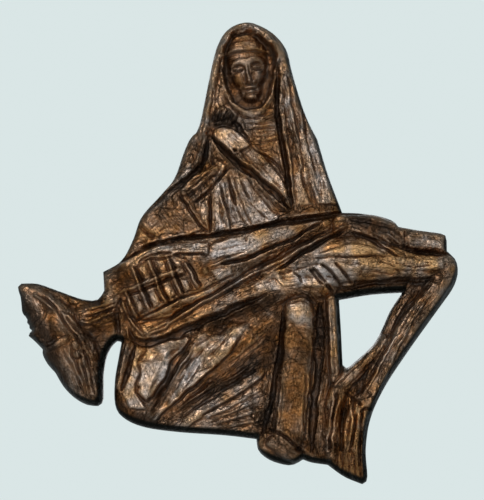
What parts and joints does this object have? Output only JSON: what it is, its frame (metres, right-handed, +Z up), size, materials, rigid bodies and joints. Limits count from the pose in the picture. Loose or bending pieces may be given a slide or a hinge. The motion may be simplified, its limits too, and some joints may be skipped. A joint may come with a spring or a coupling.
{
  "type": "bronze wall relief",
  "caption": "Silhouette-shaped cast bronze wall relief of a veiled seated woman with a dead man across her knees, pierced beside his leg.",
  "frame": {"origin": "on the flat back face, behind the middle of the relief, where it lies against the wall", "axes": "+X to the viewer's right, +Y out of the back into the wall, +Z up; the carved front faces -Y"},
  "size_m": [0.287, 0.0239, 0.3031],
  "materials": {
    "bronze": "dark brown patinated bronze, nearly black in the hollows and rubbed golden on the ridges"
  },
  "bodies": {
    "root": {"relief": "bronze"}
  },
  "joints": []
}
